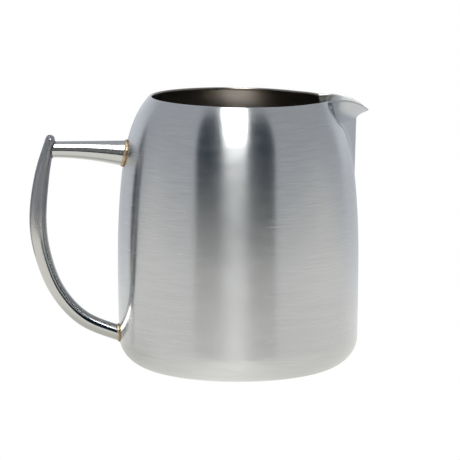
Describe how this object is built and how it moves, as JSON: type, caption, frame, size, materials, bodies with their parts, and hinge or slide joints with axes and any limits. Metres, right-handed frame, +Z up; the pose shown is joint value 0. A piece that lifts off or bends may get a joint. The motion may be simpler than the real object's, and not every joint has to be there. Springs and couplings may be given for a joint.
{
  "type": "cream jug",
  "caption": "Small stainless-steel cream jug: necked-in barrel body, V-shaped pouring spout and a brazed two-piece bar handle.",
  "frame": {"origin": "centre of the underside, on the axis of the round body", "axes": "+Z up, +X towards the spout, -X towards the handle; XZ is the plane of symmetry"},
  "size_m": [0.1065, 0.0758, 0.0856],
  "materials": {
    "satin_steel": "satin, brushed round the body",
    "polished_steel": "mirror polished, satin on the upper grip",
    "braze": "golden-brown braze alloy with heat tint"
  },
  "bodies": {
    "root": {"body_shell": "satin_steel", "base_plate": "satin_steel", "spout": "satin_steel", "handle_arm": "polished_steel", "handle_grip": "polished_steel", "braze_arm_to_body": "braze", "braze_grip_to_body": "braze", "braze_arm_to_grip": "braze"}
  },
  "joints": []
}
